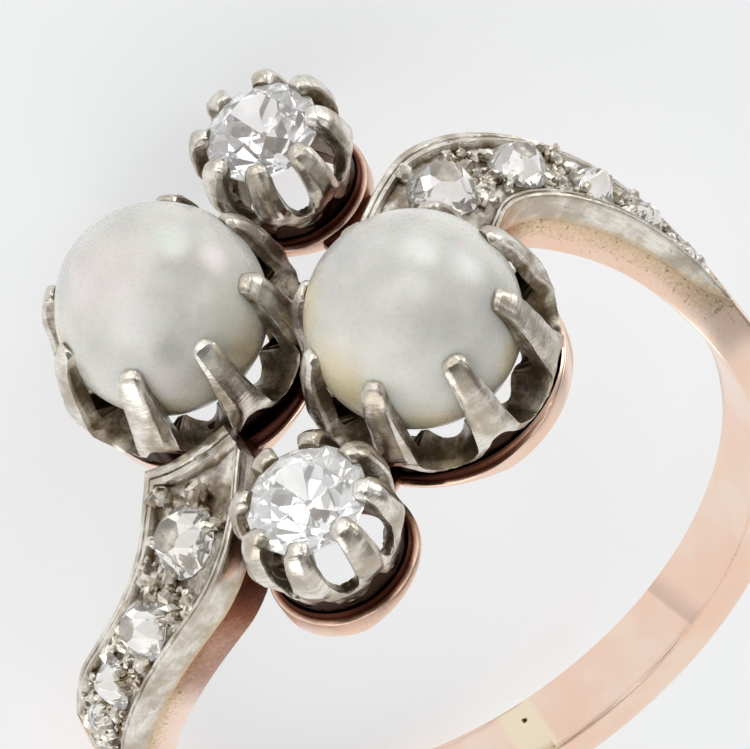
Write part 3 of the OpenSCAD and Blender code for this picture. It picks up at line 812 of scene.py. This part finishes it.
def grainsBody(left, seed):
    dice = random.Random(seed)
    side = "left" if left else "right"
    stones = []
    for k in range(1, 6):
        lo, hi = (Vector(corner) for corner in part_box(f"{side}_stone_{k}"))
        at = layDown.inverted() @ ((lo + hi) / 2)
        at = halfTurn @ at if left else at
        wide = grains["stoneWides"][k - 1] * 0.9
        stones.append((math.degrees(math.atan2(at.z, at.x)), at.y, wide))

    def floorSpot(angle, y, lift):
        return polar(topR(angle) - plate["channel"] + lift, angle, y)
    body = bmesh.new()
    for angle, y, wide in stones:
        centre = floorSpot(angle, y, 0)
        for turn in grains["prongTurns"]:
            turn = math.radians(turn + dice.uniform(-14, 14))
            reach = wide * 1.04
            a = angle + math.degrees(reach * math.cos(turn) / topR(angle))
            near, far = plateEdges(a, left)
            room = plate["rim"] * 0.8
            yy = min(max(y + reach * math.sin(turn), near + room), far - room)
            at = floorSpot(a, yy, grains["lift"] + 0.1 * wide)
            size = grains["prong"] * dice.uniform(0.75, 1.15) * (0.5 + 0.5 * wide)
            grain(body, at, centre - at, size, size * dice.uniform(1.0, 1.35), dice)
    for (angle, _, wide), (nextAngle, *_) in zip(stones, stones[1:] + [grains["channelEnd"]]):
        for k in range(grains["perGap"]):
            share = dice.uniform(0.3, 0.7)
            a = angle + (nextAngle - angle) * share
            near, far = plateEdges(a, left)
            room = plate["rim"] * 0.9
            if far - near < 2 * room + 0.1:
                continue
            yy = near + room + (far - near - 2 * room) * dice.uniform(0, 1)
            size = grains["rubble"] * dice.uniform(0.5, 1.2) * (0.55 + 0.45 * wide)
            at = floorSpot(a, yy, 0.04)
            way = randomVector(dice, -1, 1)
            grain(body, at, way, size, size * dice.uniform(0.9, 1.5), dice)
    for angle, y, size in grains[side]:
        way = randomVector(dice, -1, 1)
        grain(body, floorSpot(angle, y, 0.12), way, size * 0.8, size, dice)
    return body


for side, left in (("Right", False), ("Left", True)):
    finishPiece(grainsBody(left, 21 if left else 20), "grains" + side, silver, (),
                16, left)

# Pearls: slightly uneven spheres with soft patches of orient, painted highlights and painted shade
nacre = {
    "body": (0.80, 0.79, 0.735, 1), "cream": (0.80, 0.69, 0.45, 1), "pink": (0.87, 0.76, 0.765, 1),
    "green": (0.69, 0.81, 0.67, 1), "light": (0.95, 0.95, 0.92, 1), "grey": (0.47, 0.465, 0.44, 1),
    "uneven": 0.012,
}


def makeNacre(name, look, seed, patches):
    material, shade = newMaterial(name)
    spot = shade.millimetres()
    cloud = shade.noise(shade.millimetres((seed, 0, 0)), 0.45, 2)
    veil = shade.noise(shade.millimetres((0, seed, 0)), 1.3, 3)
    grain = shade.noise(spot, 9.0, 4)
    tone = shade.blend(cloud.rise(0.35, 0.7) * 0.5, look["body"], look["grey"])
    tone = shade.blend(veil.rise(0.45, 0.7) * 0.35, tone, look["light"])
    # soft patches of orient, painted highlight and painted shade, each round a point on the pearl
    for centre, size, colour, amount in patches:
        away = shade.awayFrom(spot, layDown @ Vector(centre) * 1000)
        mask = 1 - (away + (veil - 0.5) * 0.5).rise(0.15 * size, size)
        tone = shade.blend(mask * amount, tone, look[colour])
    specks = shade.noise(shade.millimetres((seed, 2, 5)), 2.6, 2).rise(0.71, 0.75)
    tone = shade.blend(specks * 0.2, tone, look["grey"])
    rough = grain * 0.1 + 0.23
    finishMaterial(shade, {"Base Color": tone, "Roughness": rough, "Coat Weight": 0.4,
                           "Coat Roughness": 0.24, "Subsurface Weight": 0.25,
                           "Subsurface Scale": 0.0006, "IOR": 1.6},
                   grain * 0.08 + veil * 0.6, 0.25, 0.00001)
    return material


# The camera stands as the photo's does: rows are right, down and forward in the ring's frame
view = {
    "right": (0.8367, -0.4386, -0.3281), "down": (-0.5469, -0.6365, -0.5438),
    "forward": (0.0297, 0.6345, -0.7724), "offset": (1.562, 4.547, 100.0),
    "lensPixels": 4068.0, "imagePixels": 750, "film": 36,
}
viewRows = Matrix((view["right"], view["down"], view["forward"]))


def facing(at, right, down, r):
    # the point of a ball that is seen at a share of its radius to the right and down
    out = math.sqrt(max(0.0, 1 - right * right - down * down))
    return at + viewRows.transposed() @ Vector((right, down, -out)) * r


# Each pearl: name, node, place, seed, lumps, patches as seen (place, size, tone, amount)
# cream patches are the pearl's cream tone with painted shade at the rims; the other pink ones are
# orient
# grey patches are painted shade at the rims and a painted reflection near the middle
# light patches are painted highlights, and the green and pink ones that sit on them tint these
pearls = [
    ("pearlRight", "pearl_right", pearlAt, 4.0, 0.3, [
        ((-0.75, -0.6), 1.3, "grey", 0.45), ((0.95, -0.2), 1.0, "grey", 0.4),
        ((-0.68, 0.60), 1.6, "cream", 0.95), ((0.06, -0.62), 1.0, "green", 0.45),
        ((0.05, -0.62), 0.7, "light", 0.95), ((0.46, -0.46), 0.8, "light", 0.6),
        ((0.2, 0.1), 0.9, "grey", 0.35), ((0.0, 0.6), 0.9, "light", 0.5),
        ((0.2, 0.95), 1.45, "cream", 0.9), ((-0.98, -0.1), 1.3, "cream", 0.85),
        ((0.9, 0.35), 1.1, "cream", 0.8)]),
    ("pearlLeft", "pearl_left", halfTurn @ pearlAt, 9.0, 1.0, [
        ((-0.2, -0.98), 1.2, "grey", 0.5), ((-0.5, -0.3), 1.5, "pink", 0.6),
        ((0.12, -0.62), 0.65, "light", 0.95), ((0.08, -0.62), 0.6, "green", 0.5),
        ((0.51, -0.48), 0.5, "light", 0.9),
        ((0.51, -0.45), 0.7, "pink", 0.6), ((-0.2, 0.1), 1.0, "light", 0.8),
        ((0.12, 0.42), 0.5, "grey", 0.5), ((0.05, 0.7), 0.7, "pink", 0.5),
        ((0.75, 0.55), 1.6, "cream", 0.95), ((0.0, 0.98), 1.4, "cream", 0.9),
        ((-0.95, 0.25), 0.9, "cream", 0.6)]),
]
# A dent as seen, as shares of the radius, and the way that the fine ridges run
dimple = {"right": 0.13, "down": 0.32, "wide": 0.5, "deep": 0.05}
grainWay = viewRows.transposed() @ Vector((-0.58, 0.81, 0))
for name, node, at, seed, lumps, patches in pearls:
    ball = bmesh.new()
    ball.verts.layers.float.new("tarnishAndShade")
    bmesh.ops.create_icosphere(ball, subdivisions=6, radius=pearlR)
    pressed = facing(Vector(), dimple["right"], dimple["down"], pearlR)
    for vert in ball.verts:
        wave = noise.noise(vert.co * 0.35 + Vector((seed, 0, 0))) + 0.3 * noise.noise(vert.co * 1.2)
        lump = noise.noise(vert.co * 1.1 + Vector((0, seed, 0)))
        small = lump * 0.5 + 0.2 * noise.noise(vert.co * 2.6)
        ridge = noise.noise((vert.co - grainWay * vert.co.dot(grainWay) * 0.75) * 2.0)
        hollow = max(0.0, 1 - (vert.co - pressed).length / dimple["wide"]) ** 2
        vert.co *= 1 + nacre["uneven"] * (wave + 0.5 * lumps * (small + 0.55 * ridge)) - 0.006
        vert.co -= vert.co.normalized() * dimple["deep"] * hollow * lumps
    bmesh.ops.translate(ball, verts=ball.verts, vec=at)
    spots = [(facing(at, *spot, pearlR), size, colour, amount)
             for spot, size, colour, amount in patches]
    finishPiece(ball, name, makeNacre(name + "Nacre", nacre, seed, spots), [node], 60)

# Diamonds: clear, with the facets of the CAD solids and a faint painted glow
cuts = {
    "upper": {"tone": (0.99, 0.98, 0.97, 1), "shaded": (0.88, 0.87, 0.87, 1), "clear": 0.92,
              "ior": 2.0, "paintedGlow": 0.06},
    "lower": {"tone": (1.0, 1.0, 0.99, 1), "shaded": (0.93, 0.93, 0.93, 1), "clear": 0.92,
              "ior": 2.1, "paintedGlow": 0.09},
    "small": {"tone": (0.98, 0.96, 0.93, 1), "shaded": (0.84, 0.80, 0.75, 1), "clear": 0.97,
              "ior": 2.0, "paintedGlow": 0.04},
}


def makeDiamond(name, look):
    material, shade = newMaterial(name)
    spot = shade.millimetres()
    cell = shade.noise(spot, 1.6, 0)
    fine = shade.noise(spot, 12.0, 2)
    tone = shade.blend(cell.rise(0.4, 0.6), look["tone"], look["shaded"])
    # a faint painted glow in the stone's own tone stands in for light sent back from inside
    finishMaterial(shade, {"Base Color": tone, "Roughness": fine * 0.04 + 0.01, "IOR": look["ior"],
                           "Transmission Weight": look["clear"], "Emission Color": tone,
                           "Emission Strength": look["paintedGlow"]})
    return material


cutOf = {name: makeDiamond(name + "Cut", look) for name, look in cuts.items()}
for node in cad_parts:
    if "stone" in node or node in ("diamond_upper", "diamond_lower"):
        kind = "small" if "stone" in node else node.split("_")[1]
        cut = bpy.data.objects[node]
        cut.data.materials.clear()
        cut.data.materials.append(cutOf[kind])
print("stones set")

# Floor, light and camera
studio = {
    "floor": (0.52, 0.53, 0.54, 1), "floorPale": (0.56, 0.57, 0.58, 1),
    "glow": (0.86, 0.875, 0.89, 1), "glowPower": 0.59,
    "tent": (0.50, 0.505, 0.51, 1), "tentPower": 0.9, "low": (0.94, 0.93, 0.91, 1),
    "dim": (0.22, 0.21, 0.20, 1), "wide": (1.9, 1.88, 1.84, 1),
    "shadow": (0.16, 0.15, 0.14, 1), "box": (3.6, 3.6, 3.5, 1), "lampDistance": 0.25,
}
# The tent is dim low on the right and dark round the camera, with wide boxes on the left and two
# small boxes low behind the ring: direction, range of the blend, tone. All directions are given
# as seen, to the right, down and towards the camera
tentAreas = [
    ((0.56, 0.81, -0.2), (0.5, 0.8), "low"), ((0.95, 0.1, 0.35), (0.85, 0.95), "dim"),
    ((-0.55, -0.6, 0.6), (0.82, 0.95), "wide"), ((-0.45, 0.75, 0.5), (0.82, 0.95), "wide"),
    ((0, 0, 1), (0.84, 0.97), "shadow"),
    ((0.19, -0.9, 0.38), (0.972, 0.99), "box"), ((0.73, -0.67, 0.10), (0.972, 0.99), "box"),
]
lamps = [("keyLight", (0.1, -0.45, 0.8), 0.09, 0.04), ("sideLight", (0.9, -0.2, 0.6), 0.06, 0.02)]
floorMesh = bmesh.new()
bmesh.ops.create_grid(floorMesh, x_segments=2, y_segments=2, size=0.6)
mesh = bpy.data.meshes.new("floor")
floorMesh.to_mesh(mesh)
floorMesh.free()
floor = bpy.data.objects.new("floor", mesh)
bpy.context.scene.collection.objects.link(floor)
material, shade = newMaterial("floorPaper")
haze = shade.noise(shade.millimetres(), 0.02, 2)
finishMaterial(shade, {"Base Color": shade.blend(haze, studio["floor"], studio["floorPale"]),
                       "Emission Color": studio["glow"],
                       "Emission Strength": studio["glowPower"],
                       "Roughness": 0.9, "Specular IOR Level": 0.1})
mesh.materials.append(material)

world = bpy.data.worlds.new("studio")
bpy.context.scene.world = world
world.use_nodes = True
world.node_tree.nodes.clear()
turn = Matrix((pose["across"], pose["back"], pose["up"]))
eye = layDown @ (viewRows.transposed() @ -Vector(view["offset"]))
axes = [turn @ Vector(view[axis]) for axis in ("right", "down", "forward")]
sky = Shade(world.node_tree)
looking = sky.node("ShaderNodeTexCoord", {}, {}, "Generated")


def seen(direction):
    return (axes[0] * direction[0] + axes[1] * direction[1] - axes[2] * direction[2]).normalized()


tent = studio["tent"]
for direction, blendFrom, tone in tentAreas:
    tent = sky.blend(sky.along(looking, seen(direction)).rise(*blendFrom), tent, studio[tone])
back = sky.node("ShaderNodeBackground", {}, {"Color": tent, "Strength": studio["tentPower"]})
sky.node("ShaderNodeOutputWorld", {}, {"Surface": back})
stand = Matrix((axes[0], -axes[1], -axes[2])).transposed().to_4x4()
stand.translation = eye
cameraData = bpy.data.cameras.new("camera")
cameraData.lens = view["lensPixels"] * view["film"] / view["imagePixels"]
cameraData.sensor_width = view["film"]
cameraData.clip_start = 0.001
camera = bpy.data.objects.new("camera", cameraData)
camera.matrix_world = stand
bpy.context.scene.collection.objects.link(camera)
bpy.context.scene.camera = camera


for name, direction, size, power in lamps:
    aim = seen(direction)
    data = bpy.data.lights.new(name, "AREA")
    data.size = size
    data.energy = power
    light = bpy.data.objects.new(name, data)
    light.location = layDown @ Vector((0, 0, 8)) + aim * studio["lampDistance"]
    light.rotation_euler = aim.to_track_quat("Z", "Y").to_euler()
    bpy.context.scene.collection.objects.link(light)
    print(name, [round(c, 3) for c in light.location])
bpy.context.scene.view_settings.view_transform = "Standard"
